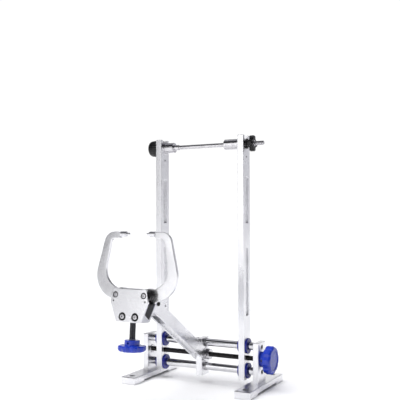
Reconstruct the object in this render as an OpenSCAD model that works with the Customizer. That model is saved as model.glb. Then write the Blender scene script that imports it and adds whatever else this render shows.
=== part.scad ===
// Truing stand: two uprights that a left and right hand screw spreads on a
// pair of guide rods, a clamping spindle across their tops, and a feeler calliper
// on an arm that swings about the screw's axis.
// Millimetres. +Z is up, +X runs along the rods to the knob, and -Y is the side of
// the calliper. The origin is the centre of the four bench holes, on the bench.

/* [Base] */
// Length of each foot, front to back
foot_length = 160; // [150:1:180]
// Width of each foot
foot_width = 30.8; // [28:0.2:34]
// Height of each foot
foot_height = 13.2; // [12:0.2:16]
// Half of the distance between the feet's centre lines
foot_x = 117.9; // [117:0.1:119]
// Distance from the centre line to each bench hole, front and back
bench_hole_y = 65; // [58:1:68]
// Top of the end plates and of the centre block above the bench
plate_top = 86; // [86:0.5:92]
// Thickness of an end plate
plate_thickness = 11; // [10:0.5:12]
// Height of the lower guide rod
lower_rod_z = 31.5; // [31:0.5:32]
// Height of the lead screw and of the arm's pivot
screw_z = 54.7; // [54:0.1:55]
// Height of the upper guide rod
upper_rod_z = 77; // [77:0.5:78]
// Radius of the guide rods
rod_r = 7; // [6:0.5:7]

/* [Uprights] */
// Inner face of an upright, from the middle of the stand
upright_x = 82; // [75:0.1:83]
// Thickness of an upright
upright_thickness = 12.2; // [11:0.1:12.5]
// Front to back width of an upright
upright_width = 30; // [30:0.5:34]
// Top of the uprights
upright_top = 469; // [460:1:475]
// Height of the spindle's axis
spindle_z = 453; // [448:1:454]

/* [Arm] */
// Rise of the arm above level, in degrees
arm_rise = 32.1; // [30:0.1:35]
// Distance from the arm's pivot to the tilt bolt
arm_reach = 215.1; // [205:0.1:220]
// Outer width of the arm's channel
arm_width = 20.8; // [20:0.2:21]

/* [Calliper head] */
// Lean of the head, its top towards the uprights, in degrees
head_lean = 4.5; // [3:0.5:6]
// Place of the adjuster's axis at the foot of the head, front to back
head_y = -242.4; // [-244:0.1:-241]
// Height of the foot of the head
head_z = 147; // [146:0.1:148]
// Sideways distance of each jaw's pivot from the middle
jaw_pivot_u = 26.6; // [26:0.1:27]
// Thickness of a jaw
jaw_thickness = 5.9; // [5:0.1:5.9]

/* [Hidden] */

// Finishes
silver = "gainsboro";
bright = "silver";
black = "#1a1a1c";
blue = "#2c45c0";
navy = "#1f2468";

// Working clearances
slip = 0.05;        // radial clearance of a turning or sliding fit
seat = 0.03;        // radial clearance of a part that is held in place
press = 0.02;       // radial clearance that stands for a press fit or a thread
gap = 0.3;          // gap between faces that move past each other
edge = 0.6;         // chamfer on milled edges
round_fn = 48;      // any value above 12 gives true cylinders

// Fasteners: radii of an M5 screw, its clearance hole and its tapped hole
m5_r = 2.48;
m5_clear_r = 2.75;
m5_tap_r = 2.5;

// Feet and end plates
bench_hole_r = 3.3;
bench_sink_r = 5.2;
bench_sink_depth = 4;
foot_relief_y = 46;
foot_relief_depth = 4.1;
plate_pocket = 3;
plate_width = 35;
plate_x = foot_x - 6;                       // inner face of an end plate
plate_bottom = foot_height - plate_pocket;
foot_screw_y = 9;
rod_socket = 2;                             // depth to which a rod enters its plate
rod_end = plate_x + rod_socket;
rod_sink_r = 4.5;
rod_sink_depth = 6;

// Lead screw
screw_r = 4.5;
journal_r = 4;
bush_r = 6;
bush_flange_r = 8;
bush_flange = 1.2;
sleeve_r = 7;
collar_r = 10;
collar_width = 8;
collar_x = arm_width / 2 + 0.5;             // inner face of a screw collar
thread_start = collar_x + collar_width - 1;
thread_end = plate_x - bush_flange - 0.2;
block_half = 6.2;
block_depth = 30;
block_bottom = 15.5;
ring_r = 8;
ring_width = 4;

// Spread knob
knob_neck_r = 14;
knob_r = 25.5;
knob_x = plate_x + plate_thickness + gap;
knob_neck = 8.8;
knob_head = 15.2;
knob_lobes = 8;

// Uprights
upright_outer = upright_x + upright_thickness;
upright_bottom = 15.8;
rod_bush_r = 9;
rod_flange_r = 14.2;
rod_flange = 3;
screw_nut_r = 8;
notch_r = 8.5;
slot_half = 5.8;
slot_corner = 2.5;
slots = [[133, 258], [305, 391]];           // lower and upper end of each slot
index_hole_z = 429;
index_hole_r = 2;

// Spindle
spindle_r = 4;
spindle_left = -110;
spindle_right = 129.2;
cap_r = 16.2;
cap_width = 20;
sleeve_body_r = 10;
sleeve_flange_r = 12;
left_sleeve_end = -60;
left_nose_end = -50;
left_nose_r = 5.4;
right_sleeve_end = 50.4;
star_neck_r = 7.2;
star_neck = 7.5;
star_r = 15;
star_width = 8.5;
insert_r = 5.5;

// Arm: its side view has Y along the arm and Z across it, with the pivot at 0
wall = 3.9;
arm_top = 8;
arm_bottom = -14.5;
web = 19.5;                                 // a groove 3 mm deep is left below it
web_from = 30;
web_to = 160;
boss_r = 13.4;
bolt_offset = 2;                            // tilt bolt above the pivot's line

// Tilt bolt, in world coordinates
tilt_y = -arm_reach * cos(arm_rise) + bolt_offset * sin(arm_rise);
tilt_z = screw_z + arm_reach * sin(arm_rise) + bolt_offset * cos(arm_rise);
tongue_half = 6.2;

// Head: U is sideways, V is front to back and W is up along the head
plate_v = [-14.5, -10.5];                   // front plate
body_v = [-10.5, 8.5];                      // spacer body and screw block
back_v = [8.5, 12.5];                       // rear plate
jaw_v = [2.3, 2.3 + jaw_thickness];
pivot_w = 44.5;
body_top = 31.3;
block_front_w = 14;                         // the screw block's top slopes from front
block_back_w = 5.2;                         // to back
plate_screw_u = 12;
plate_screw_w = 10.3;
stop_hole = [29.6, 34.8];
spool_r = 10.3;
spool_end = 2;
spool_boss_r = 4.85;                        // bosses that stand in the front plate's
body_boss_r = 6.5;                          // holes, below its face
boss_v = plate_v[0] + 1.6;
adjuster_r = 5.2;
knob_top_w = -27;
dial_neck = 8.4;
dial_neck_r = 12.4;
dial_head = 9.8;
dial_r = 22.8;
wedge_v = [-10.2, 8.2];
wedge_w = [31, 42.5];
wedge_half = [8.85, 6.85];                   // half width at the wedge's foot and top
tip_w = 142.5;
tip_v = (jaw_v[0] + jaw_v[1]) / 2;
jaw_end_u = 33;

// ---------------------------------------------------------------- outlines

function unit(v) = v / norm(v);
function rotated(v, a) = [v[0] * cos(a) - v[1] * sin(a), v[0] * sin(a) + v[1] * cos(a)];

// The arc of radius r that replaces the corner p between its neighbours a and b
function corner(a, p, b, r, n) =
    let (u = unit(a - p), v = unit(b - p), half = acos(u * v) / 2)
    let (centre = p + unit(u + v) * r / sin(half))
    let (start = p + u * r / tan(half) - centre)
    let (turn = (180 - 2 * half) * sign(cross(-u, v)))
    [for (i = [0:n]) centre + rotated(start, turn * i / n)];

// An outline of corners [x, y, radius]; a radius of 0 keeps the corner sharp
function rounded(corners, n = 6) =
    let (m = len(corners), xy = [for (c = corners) [c[0], c[1]]])
    [for (i = [0:m - 1])
        each corners[i][2] > 0
            ? corner(xy[(i + m - 1) % m], xy[i], xy[(i + 1) % m], corners[i][2], n)
            : [xy[i]]];

// An outline that is the same left and right, from the corners of its right half,
// which run from top to bottom
function both_sides(half) =
    concat(half, [for (i = [len(half) - 1:-1:0]) [-half[i][0], half[i][1], half[i][2]]]);

// ---------------------------------------------------------------- basic solids

// A bar or bore along X, Y or Z
module bar_x(x0, x1, r, y = 0, z = 0) {
    translate([x0, y, z]) rotate([0, 90, 0]) cylinder(h = x1 - x0, r = r, $fn = round_fn);
}
module bar_y(y0, y1, r, x = 0, z = 0) {
    translate([x, y0, z]) rotate([-90, 0, 0]) cylinder(h = y1 - y0, r = r, $fn = round_fn);
}
module bar_z(z0, z1, r, x = 0, y = 0) {
    translate([x, y, z0]) cylinder(h = z1 - z0, r = r, $fn = round_fn);
}

// A side view, Y to the right and Z up, given thickness from x0 to x1
module side_slab(x0, x1) {
    translate([x0, 0, 0]) rotate([90, 0, 90]) linear_extrude(x1 - x0) children();
}
// A front view, X to the right and Z up, given thickness from y0 to y1
module front_slab(y0, y1) {
    translate([0, y1, 0]) rotate([90, 0, 0]) linear_extrude(y1 - y0) children();
}

// A block between two corners, with every edge chamfered
module cut_corners(a, b, c) {
    polygon([[c, 0], [a - c, 0], [a, c], [a, b - c], [a - c, b], [c, b], [0, b - c], [0, c]]);
}
module milled_block(low, high, c = edge) {
    s = high - low;
    translate(low) intersection() {
        linear_extrude(s[2]) cut_corners(s[0], s[1], c);
        front_slab(0, s[1]) cut_corners(s[0], s[2], c);
        side_slab(0, s[0]) cut_corners(s[1], s[2], c);
    }
}

// A hexagon socket, cut into a screw's head from the side of lower X
module hex_x(x0, x1, across, y = 0, z = 0) {
    translate([x0, y, z]) rotate([0, 90, 0])
        cylinder(h = x1 - x0, r = across / sqrt(3), $fn = 6);
}

// The same thing on both sides of the middle plane
module left_and_right() {
    children();
    mirror([1, 0, 0]) children();
}

// ---------------------------------------------------------------- base

module foot() {
    color(silver) difference() {
        milled_block([foot_x - foot_width / 2, -foot_length / 2, 0],
            [foot_x + foot_width / 2, foot_length / 2, foot_height], 0.9);
        // Relief under the middle
        translate([foot_x - foot_width, -foot_relief_y, -1])
            cube([2 * foot_width, 2 * foot_relief_y, foot_relief_depth + 1]);
        // Pocket for the end plate
        translate([plate_x - 0.02, -plate_width / 2 - 0.02, plate_bottom])
            cube([plate_thickness + 0.04, plate_width + 0.04, foot_height]);
        for (y = [-bench_hole_y, bench_hole_y]) {
            bar_z(-1, foot_height + 1, bench_hole_r, foot_x, y);
            bar_z(foot_height - bench_sink_depth, foot_height + 1, bench_sink_r, foot_x, y);
        }
        for (y = [-foot_screw_y, foot_screw_y]) {
            bar_z(0, foot_height, m5_clear_r, plate_x + plate_thickness / 2, y);
            bar_z(0, foot_relief_depth + 2, 4.8, plate_x + plate_thickness / 2, y);
        }
    }
}
module left_foot() mirror([1, 0, 0]) foot();
module right_foot() foot();

module end_plate() {
    outer = plate_x + plate_thickness;
    color(silver) difference() {
        milled_block([plate_x, -plate_width / 2, plate_bottom],
            [outer, plate_width / 2, plate_top]);
        for (z = [lower_rod_z, upper_rod_z]) {
            bar_x(plate_x - 1, rod_end, rod_r + seat, 0, z);
            bar_x(plate_x, outer + 1, m5_clear_r, 0, z);
            bar_x(outer - rod_sink_depth, outer + 1, rod_sink_r, 0, z);
        }
        bar_x(plate_x - 1, outer + 1, bush_r + press, 0, screw_z);
        for (y = [-foot_screw_y, foot_screw_y])
            bar_z(0, plate_bottom + 13, m5_tap_r, plate_x + plate_thickness / 2, y);
    }
}
module left_end_plate() mirror([1, 0, 0]) end_plate();
module right_end_plate() end_plate();

module foot_screws() {
    head_top = foot_relief_depth + 2;
    color(black) left_and_right() for (y = [-foot_screw_y, foot_screw_y])
        difference() {
            union() {
                bar_z(head_top - 3, head_top, 4.5, plate_x + plate_thickness / 2, y);
                bar_z(head_top, plate_bottom + 12, m5_r, plate_x + plate_thickness / 2, y);
            }
            translate([plate_x + plate_thickness / 2, y, 0])
                cylinder(h = head_top - 1.2, r = 3 / sqrt(3), $fn = 6);
        }
}

// A guide rod, its ends drilled for a screw and broken to a chamfer
module guide_rod(z) {
    chamfer = 0.8;
    color(bright) difference() {
        union() {
            bar_x(-rod_end + chamfer, rod_end - chamfer, rod_r, 0, z);
            for (side = [-1, 1]) translate([side * rod_end, 0, z]) rotate([0, -side * 90, 0])
                cylinder(h = chamfer, r1 = rod_r - chamfer, r2 = rod_r, $fn = round_fn);
        }
        for (side = [-1, 1])
            bar_x(min(side * (rod_end - 16), side * (rod_end + 1)),
                max(side * (rod_end - 16), side * (rod_end + 1)), m5_tap_r, 0, z);
    }
}
module upper_guide_rod() guide_rod(upper_rod_z);
module lower_guide_rod() guide_rod(lower_rod_z);

module rod_screws() {
    seat_x = plate_x + plate_thickness - rod_sink_depth;
    color(black) left_and_right() for (z = [lower_rod_z, upper_rod_z])
        difference() {
            union() {
                bar_x(rod_end - 14, seat_x, m5_r, 0, z);
                bar_x(seat_x, seat_x + 5, 4.25, 0, z);
            }
            hex_x(seat_x + 2.2, seat_x + 6, 4, 0, z);
        }
}

module centre_block() {
    color(silver) difference() {
        milled_block([-block_half, -block_depth / 2, block_bottom],
            [block_half, block_depth / 2, plate_top - 1], 0.5);
        for (z = [lower_rod_z, upper_rod_z]) {
            bar_x(-10, 10, rod_r + seat, 0, z);
            bar_y(0, block_depth, m5_tap_r, 0, z);
        }
        bar_x(-10, 10, sleeve_r + press, 0, screw_z);
    }
}

// Sleeve through the centre block: the arm's walls swing on its ends
module pivot_sleeve() {
    reach = arm_width / 2 + 0.2;
    color(bright) difference() {
        bar_x(-reach, reach, sleeve_r, 0, screw_z);
        bar_x(-reach - 1, reach + 1, journal_r + slip, 0, screw_z);
    }
}

module rod_rings() {
    color(bright) left_and_right() for (z = [lower_rod_z, upper_rod_z])
        difference() {
            bar_x(block_half, block_half + ring_width, ring_r, 0, z);
            bar_x(0, 20, rod_r + seat, 0, z);
        }
}

module block_set_screws() {
    color(black) for (z = [lower_rod_z, upper_rod_z])
        difference() {
            bar_y(rod_r + 0.1, block_depth / 2 - 0.6, m5_r, 0, z);
            translate([0, block_depth / 2 - 3, z]) rotate([-90, 0, 0])
                cylinder(h = 4, r = 2.5 / sqrt(3), $fn = 6);
        }
}

module screw_bushes() {
    color(bright) left_and_right() difference() {
        union() {
            bar_x(plate_x, plate_x + plate_thickness, bush_r, 0, screw_z);
            bar_x(plate_x - bush_flange, plate_x, bush_flange_r, 0, screw_z);
        }
        bar_x(plate_x - 5, knob_x + 5, journal_r + slip, 0, screw_z);
    }
}

// ---------------------------------------------------------------- spread drive

module lead_screw() {
    color(black) union() {
        bar_x(-plate_x - plate_thickness, knob_x + 20, journal_r, 0, screw_z);
        left_and_right() bar_x(thread_start, thread_end, screw_r, 0, screw_z);
    }
}

module screw_collars() {
    color(bright) left_and_right() difference() {
        bar_x(collar_x, collar_x + collar_width - 1.2, collar_r, 0, screw_z);
        bar_x(0, 40, journal_r + seat, 0, screw_z);
        bar_y(-20, 0, 2.02, collar_x + 3.4, screw_z);
    }
}

module collar_set_screws() {
    color(black) left_and_right() difference() {
        bar_y(-collar_r + 0.2, -journal_r - 0.1, 2, collar_x + 3.4, screw_z);
        translate([collar_x + 3.4, -collar_r, screw_z]) rotate([-90, 0, 0])
            cylinder(h = 2, r = 2 / sqrt(3), $fn = 6);
    }
}

// Knob drawn on the Z axis: a neck below a head with lobes, a domed rim and a dished face
module lobed_knob(neck_r, neck_h, head_r, head_h, lobes, bore_r, bore_h, dish) {
    difference() {
        union() {
            cylinder(h = neck_h + 1, r = neck_r, $fn = round_fn);
            translate([0, 0, neck_h]) rotate_extrude($fn = 64)
                polygon(rounded([[0, 0, 0], [head_r, 0, 2], [head_r, head_h, 5.5],
                    [0, head_h, 0]], 5));
        }
        // Finger hollows between the lobes
        for (i = [0:lobes - 1]) rotate([0, 0, (i + 0.5) * 360 / lobes])
            translate([head_r + 5.8, 0, neck_h - 1])
                cylinder(h = head_h + 2, r = 8, $fn = round_fn);
        translate([0, 0, neck_h + head_h - dish]) cylinder(h = dish + 1, r = head_r - 8.5, $fn = round_fn);
        translate([0, 0, -1]) cylinder(h = bore_h + 1, r = bore_r, $fn = round_fn);
    }
}

module spread_knob() {
    color(blue) difference() {
        translate([knob_x, 0, screw_z]) rotate([0, 90, 0])
            lobed_knob(knob_neck_r, knob_neck, knob_r, knob_head, knob_lobes,
                journal_r + seat, 20.2, 1.2);
        bar_y(-knob_neck_r - 1, 0, m5_tap_r, knob_x + knob_neck / 2, screw_z);
    }
}

module knob_set_screw() {
    color(black) difference() {
        bar_y(-knob_neck_r + 0.8, -journal_r - 0.1, m5_r, knob_x + knob_neck / 2, screw_z);
        translate([knob_x + knob_neck / 2, -knob_neck_r, screw_z]) rotate([-90, 0, 0])
            cylinder(h = 3, r = 2.5 / sqrt(3), $fn = 6);
    }
}

// ---------------------------------------------------------------- uprights

module upright() {
    color(silver) difference() {
        milled_block([upright_x, -upright_width / 2, upright_bottom],
            [upright_outer, upright_width / 2, upright_top]);
        for (z = [lower_rod_z, upper_rod_z])
            bar_x(upright_x - 1, upright_outer + 1, rod_bush_r + press, 0, z);
        bar_x(upright_x - 1, upright_outer + 1, screw_nut_r + press, 0, screw_z);
        // Open notch for the spindle's sleeve
        bar_x(upright_x - 1, upright_outer + 1, notch_r, 0, spindle_z);
        translate([upright_x - 1, -notch_r, spindle_z])
            cube([upright_thickness + 2, 2 * notch_r, upright_top]);
        bar_x(upright_x - 1, upright_outer + 1, index_hole_r, 0, index_hole_z);
        for (s = slots) side_slab(upright_x - 1, upright_outer + 1)
            polygon(rounded([for (corner = [[-1, 0], [1, 0], [1, 1], [-1, 1]])
                [corner[0] * slot_half, s[corner[1]], slot_corner]]));
    }
}
module left_upright() mirror([1, 0, 0]) upright();
module right_upright() upright();

// Flanged bushes, pressed in from both faces of an upright
module rod_bushes() {
    middle = upright_x + upright_thickness / 2;
    color(navy) for (z = [lower_rod_z, upper_rod_z], face = [-1, 1])
        translate([middle, 0, z]) rotate([0, face * 90, 0]) difference() {
            union() {
                translate([0, 0, 0.05])
                    cylinder(h = upright_thickness / 2 - 0.05, r = rod_bush_r, $fn = round_fn);
                translate([0, 0, upright_thickness / 2])
                    cylinder(h = rod_flange, r = rod_flange_r, $fn = round_fn);
            }
            translate([0, 0, -1]) cylinder(h = 20, r = rod_r + slip, $fn = round_fn);
        }
}
module left_bushes() mirror([1, 0, 0]) rod_bushes();
module right_bushes() rod_bushes();

module screw_nut() {
    color(bright) difference() {
        bar_x(upright_x, upright_outer, screw_nut_r, 0, screw_z);
        bar_x(upright_x - 1, upright_outer + 1, screw_r + slip, 0, screw_z);
    }
}
module left_screw_nut() mirror([1, 0, 0]) screw_nut();
module right_screw_nut() screw_nut();

// The sleeves' spigots sit in the notches and their flanges bear on the uprights
module left_axle_sleeve() {
    color(bright) difference() {
        union() {
            bar_x(-upright_outer + 0.3, -upright_x, notch_r - slip, 0, spindle_z);
            bar_x(-upright_x, -upright_x + 3, sleeve_flange_r, 0, spindle_z);
            bar_x(-upright_x + 3, left_sleeve_end, sleeve_body_r, 0, spindle_z);
            bar_x(left_sleeve_end, left_nose_end, left_nose_r, 0, spindle_z);
        }
        bar_x(-200, 0, spindle_r + slip, 0, spindle_z);
    }
}
module right_axle_sleeve() {
    color(bright) difference() {
        union() {
            bar_x(upright_x, upright_outer - 0.3, notch_r - slip, 0, spindle_z);
            bar_x(upright_x - 3, upright_x, sleeve_flange_r, 0, spindle_z);
            bar_x(right_sleeve_end, upright_x - 3, sleeve_body_r, 0, spindle_z);
        }
        bar_x(0, 200, spindle_r + slip, 0, spindle_z);
    }
}

// ---------------------------------------------------------------- spindle

module spindle_rod() {
    color(bright) bar_x(spindle_left, spindle_right, spindle_r, 0, spindle_z);
}

module spindle_cap() {
    profile = rounded([[0, 0, 0], [cap_r - 1, 0, 1.5], [cap_r, 8, 4],
        [cap_r - 1.5, cap_width, 5], [0, cap_width, 0]], 5);
    color(black) difference() {
        translate([-upright_outer - gap, 0, spindle_z]) rotate([0, -90, 0])
            rotate_extrude($fn = 64) polygon(profile);
        bar_x(spindle_left, 0, spindle_r + seat, 0, spindle_z);
    }
}

module star_nut() {
    color(black) difference() {
        union() {
            bar_x(upright_outer + gap, upright_outer + gap + 2.4, 9.6, 0, spindle_z);
            bar_x(upright_outer + gap, upright_outer + gap + star_neck + 1, star_neck_r, 0, spindle_z);
            translate([upright_outer + gap + star_neck, 0, spindle_z]) rotate([0, 90, 0])
                difference() {
                    cylinder(h = star_width, r = star_r, $fn = round_fn);
                    for (i = [0:3]) rotate([0, 0, 45 + i * 90])
                        translate([star_r + 1.2, 0, -1])
                            cylinder(h = star_width + 2, r = 6.2, $fn = round_fn);
                }
        }
        bar_x(0, 200, insert_r + press, 0, spindle_z);
    }
}

module star_insert() {
    color(bright) difference() {
        bar_x(upright_outer + gap, upright_outer + gap + star_neck + star_width, insert_r, 0, spindle_z);
        bar_x(0, 200, spindle_r + slip, 0, spindle_z);
    }
}

// ---------------------------------------------------------------- arm

// Puts the arm's side view in place: Y runs down the arm and Z across it
module on_arm() {
    translate([0, 0, screw_z]) rotate([-arm_rise, 0, 0]) children();
}

module arm_channel() {
    half = arm_width / 2;
    tip = -arm_reach - 12;
    side = rounded([[0, arm_bottom, 3], [0, arm_top, 3], [tip, arm_top, 6],
        [tip, arm_bottom, 9]], 5);
    color(silver) on_arm() difference() {
        union() {
            left_and_right() side_slab(half - wall, half) {
                polygon(side);
                circle(r = boss_r, $fn = round_fn);
            }
            translate([-half + 1, -web_to, arm_top - web])
                cube([arm_width - 2, web_to - web_from, web]);
        }
        bar_x(-half - 1, half + 1, sleeve_r + slip);
        bar_x(-half - 1, half + 1, m5_tap_r + press, -arm_reach, bolt_offset);
    }
}

module tilt_bolt() {
    half = arm_width / 2;
    color(black) on_arm() difference() {
        union() {
            bar_x(-half - 5, half, m5_tap_r, -arm_reach, bolt_offset);
            bar_x(half, half + 2, 3.6, -arm_reach, bolt_offset);
        }
        hex_x(half + 0.8, half + 3, 3, -arm_reach, bolt_offset);
    }
}

module tilt_nut() {
    half = arm_width / 2;
    color(bright) on_arm() difference() {
        hex_x(-half - 4, -half, 8, -arm_reach, bolt_offset);
        bar_x(-half - 6, -half + 1, m5_tap_r + press, -arm_reach, bolt_offset);
    }
}

// ---------------------------------------------------------------- calliper head

// Puts a head part in place: X is U, Y is V and Z is W
module on_head() {
    translate([0, head_y, head_z]) rotate([-head_lean, 0, 0]) children();
}

// Corners of the plates' right half, from the middle of the top to the foot
plate_half = [[18, 54.2, 30], [27, 55.5, 4], [32, 55.5, 4.5], [35.5, 33, 9], [23.5, 1.5, 1.5]];
body_half = [[35.2, body_top, 0], [23.3, 1.5, 0]];

module plate_outline() {
    polygon(rounded(both_sides(plate_half), 5));
}

// The tongue fits between the arm's walls, and its flange lies on the rear plate
module head_bracket() {
    rear = -139;
    tongue = rounded([[-226, 183.5, 0], [rear, 183.5, 4], [rear, 148, 4], [-172, 148, 12],
        [-203, 160, 12], [-226, 160, 0]], 4);
    color(silver) difference() {
        union() {
            side_slab(-tongue_half, tongue_half) polygon(tongue);
            on_head() front_slab(back_v[1], back_v[1] + 4.5)
                polygon(rounded([[-17, 10, 2], [17, 10, 2], [17, 37, 2], [-17, 37, 2]], 4));
        }
        bar_x(-20, 20, m5_tap_r + slip, tilt_y, tilt_z);
        bar_x(0, 20, m5_tap_r, rear - 11, 163.5);
        on_head() for (u = [-12, 12], w = [15, 32])
            bar_y(back_v[0], back_v[1] + 10, 2.1, u, w);
    }
}

module bracket_screws() {
    color(bright) on_head() for (u = [-12, 12], w = [15, 32]) difference() {
        union() {
            bar_y(back_v[0], back_v[1] + 4.5, 2, u, w);
            bar_y(back_v[1] + 4.5, back_v[1] + 7, 3.6, u, w);
        }
        translate([u, back_v[1] + 5.8, w]) rotate([-90, 0, 0])
            cylinder(h = 3, r = 2.5 / sqrt(3), $fn = 6);
    }
}

module tilt_lock_screw() {
    color(bright) difference() {
        bar_x(0.1, tongue_half - 0.2, m5_r, -150, 163.5);
        hex_x(tongue_half - 2.5, tongue_half + 1, 2.5, -150, 163.5);
    }
}

module rear_plate() {
    color(silver) on_head() difference() {
        front_slab(back_v[0], back_v[1]) plate_outline();
        for (u = [-jaw_pivot_u, jaw_pivot_u]) bar_y(0, 20, 3 + press, u, pivot_w);
        for (u = [-plate_screw_u, plate_screw_u]) bar_y(0, 20, m5_tap_r, u, plate_screw_w);
        for (u = [-12, 12], w = [15, 32]) bar_y(0, 20, 2.02, u, w);
    }
}

module front_plate() {
    color(silver) on_head() difference() {
        front_slab(plate_v[0], plate_v[1]) plate_outline();
        for (u = [-jaw_pivot_u, jaw_pivot_u]) bar_y(-20, 0, spool_boss_r + slip, u, pivot_w);
        for (u = [-plate_screw_u, plate_screw_u])
            bar_y(-20, 0, body_boss_r + slip, u, plate_screw_w);
        for (u = [-stop_hole[0], stop_hole[0]]) bar_y(-20, 0, 1.5, u, stop_hole[1]);
    }
}

// Side view of the slope between the spacer body and the screw block
module above_slope() {
    polygon([[body_v[0], block_front_w], [body_v[1], block_back_w],
        [body_v[1], body_top + 1], [body_v[0], body_top + 1]]);
}

module head_bores() {
    bar_z(-1, body_top + 1, adjuster_r + slip);
    for (u = [-plate_screw_u, plate_screw_u]) bar_y(-20, 20, m5_clear_r, u, plate_screw_w);
}

// The black body fills the head above the slope, and its two bosses carry the plate screws
module spacer_body() {
    color(black) on_head() difference() {
        union() {
            intersection() {
                front_slab(body_v[0], body_v[1]) polygon(rounded(both_sides(body_half)));
                side_slab(-40, 40) above_slope();
            }
            for (u = [-plate_screw_u, plate_screw_u])
                bar_y(boss_v, body_v[0], body_boss_r, u, plate_screw_w);
        }
        head_bores();
        // Pocket in which the wedge can go down
        translate([-12, body_v[0] - 1, body_top - 3]) cube([24, 30, 10]);
        for (u = [-12, 12]) bar_y(body_v[1] - 6, 20, 2.02, u, 15);
    }
}

module screw_block() {
    color(silver) on_head() difference() {
        front_slab(body_v[0], body_v[1]) polygon(rounded(both_sides(body_half)));
        side_slab(-40, 40) above_slope();
        translate([-50, -50, body_top]) cube([100, 100, 10]);
        head_bores();
    }
}

// Hollow spools that space the jaws from the front plate
module pivot_spools() {
    color(black) on_head() left_and_right() difference() {
        union() {
            bar_y(body_v[0], spool_end, spool_r, jaw_pivot_u, pivot_w);
            bar_y(boss_v, body_v[0] + 1, spool_boss_r, jaw_pivot_u, pivot_w);
        }
        bar_y(boss_v - 1, spool_end + 1, 3.03, jaw_pivot_u, pivot_w);
        difference() {
            bar_y(body_v[0] + 2, spool_end + 1, 8.4, jaw_pivot_u, pivot_w);
            bar_y(body_v[0] + 1, spool_end + 2, 4.6, jaw_pivot_u, pivot_w);
        }
    }
}

// Stands for the torsion springs inside the spools
module jaw_springs() {
    color(bright) on_head() left_and_right() difference() {
        bar_y(body_v[0] + 2, spool_end - 0.4, 7.9, jaw_pivot_u, pivot_w);
        bar_y(body_v[0], spool_end + 1, 5.2, jaw_pivot_u, pivot_w);
    }
}

// A screw of the head, its own head on a boss and its shank through to the rear plate
module head_screw(head_r, head_h, shank_r, key, u, w) {
    difference() {
        union() {
            bar_y(boss_v - head_h, boss_v, head_r, u, w);
            bar_y(boss_v, back_v[1], shank_r, u, w);
        }
        translate([u, boss_v - head_h - 1, w]) rotate([-90, 0, 0])
            cylinder(h = head_h * 0.6 + 1, r = key / sqrt(3), $fn = 6);
    }
}

module jaw_pivot_screws() {
    color(bright) on_head() for (u = [-jaw_pivot_u, jaw_pivot_u])
        head_screw(3.5, 1.4, 3, 2.5, u, pivot_w);
}

module plate_screws() {
    color(bright) on_head() for (u = [-plate_screw_u, plate_screw_u])
        head_screw(4, 2.2, m5_r, 2.5, u, plate_screw_w);
}

module wedge() {
    outline = [[-wedge_half[0], wedge_w[0]], [wedge_half[0], wedge_w[0]],
        [wedge_half[1], wedge_w[1]], [-wedge_half[1], wedge_w[1]]];
    color(bright) on_head() difference() {
        front_slab(wedge_v[0], wedge_v[1]) polygon(outline);
        bar_z(wedge_w[0] - 1, wedge_w[0] + 6, 3 + slip);
    }
}

module adjuster_screw() {
    color(black) on_head() union() {
        bar_z(knob_top_w - dial_neck - 6, wedge_w[0] - 0.1, adjuster_r);
        bar_z(wedge_w[0] - 1, wedge_w[0] + 5.8, 3);
    }
}

module adjuster_knob() {
    color(blue) on_head() difference() {
        translate([0, 0, knob_top_w]) mirror([0, 0, 1])
            lobed_knob(dial_neck_r, dial_neck, dial_r, dial_head, knob_lobes,
                adjuster_r + seat, dial_neck + 6.1, 0.8);
        bar_y(-30, 0, 1.6, 0, knob_top_w - dial_neck / 2);
    }
}

// Right jaw: a curved arm with an eye on its pivot and a heel beside the wedge
jaw_outline = [[29, 32.4, 1.5], [36, 32.8, 6], [84.1, 51.2, 40], [60.4, 146.1, 19],
    [jaw_end_u, 146.1, 0.8], [jaw_end_u, 135.6, 0.8], [50.6, 135.6, 8],
    [62.2, 67.3, 30], [36, 54.2, 10], [29, 54.2, 0]];
heel_outline = [[25, 55], [10, 40.3], [10, 34.7], [12, 34.3], [29, 33.9]];
heel_nose = [10.9, 37.5];

module jaw() {
    color(silver) on_head() difference() {
        front_slab(jaw_v[0], jaw_v[1]) {
            polygon(rounded(jaw_outline, 12));
            polygon(heel_outline);
            translate([jaw_pivot_u, pivot_w]) circle(r = 11, $fn = round_fn);
            translate(heel_nose) circle(r = 3, $fn = round_fn);
        }
        bar_y(jaw_v[0] - 1, jaw_v[1] + 1, 3 + slip, jaw_pivot_u, pivot_w);
        translate([0, tip_v, 0]) bar_x(jaw_end_u - 1, jaw_end_u + 12, 2.1, 0, tip_w);
    }
}
module left_jaw() mirror([1, 0, 0]) jaw();
module right_jaw() jaw();

module tip() {
    color(bright) on_head() translate([0, tip_v, 0]) union() {
        bar_x(16, 22, 2, 0, tip_w);
        bar_x(21.5, jaw_end_u, 4.4, 0, tip_w);
        bar_x(jaw_end_u - 1, jaw_end_u + 11.5, 2.08, 0, tip_w);
    }
}
module left_tip() mirror([1, 0, 0]) tip();
module right_tip() tip();

// ---------------------------------------------------------------- what is drawn

left_foot();
right_foot();
left_end_plate();
right_end_plate();
foot_screws();
upper_guide_rod();
lower_guide_rod();
rod_screws();
centre_block();
pivot_sleeve();
rod_rings();
block_set_screws();
screw_bushes();
lead_screw();
screw_collars();
collar_set_screws();
spread_knob();
knob_set_screw();
left_upright();
right_upright();
left_bushes();
right_bushes();
left_screw_nut();
right_screw_nut();
left_axle_sleeve();
right_axle_sleeve();
spindle_rod();
spindle_cap();
star_nut();
star_insert();
arm_channel();
tilt_bolt();
tilt_nut();
head_bracket();
bracket_screws();
tilt_lock_screw();
rear_plate();
front_plate();
spacer_body();
screw_block();
pivot_spools();
jaw_springs();
jaw_pivot_screws();
plate_screws();
wedge();
adjuster_screw();
adjuster_knob();
left_jaw();
right_jaw();
left_tip();
right_tip();
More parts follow.
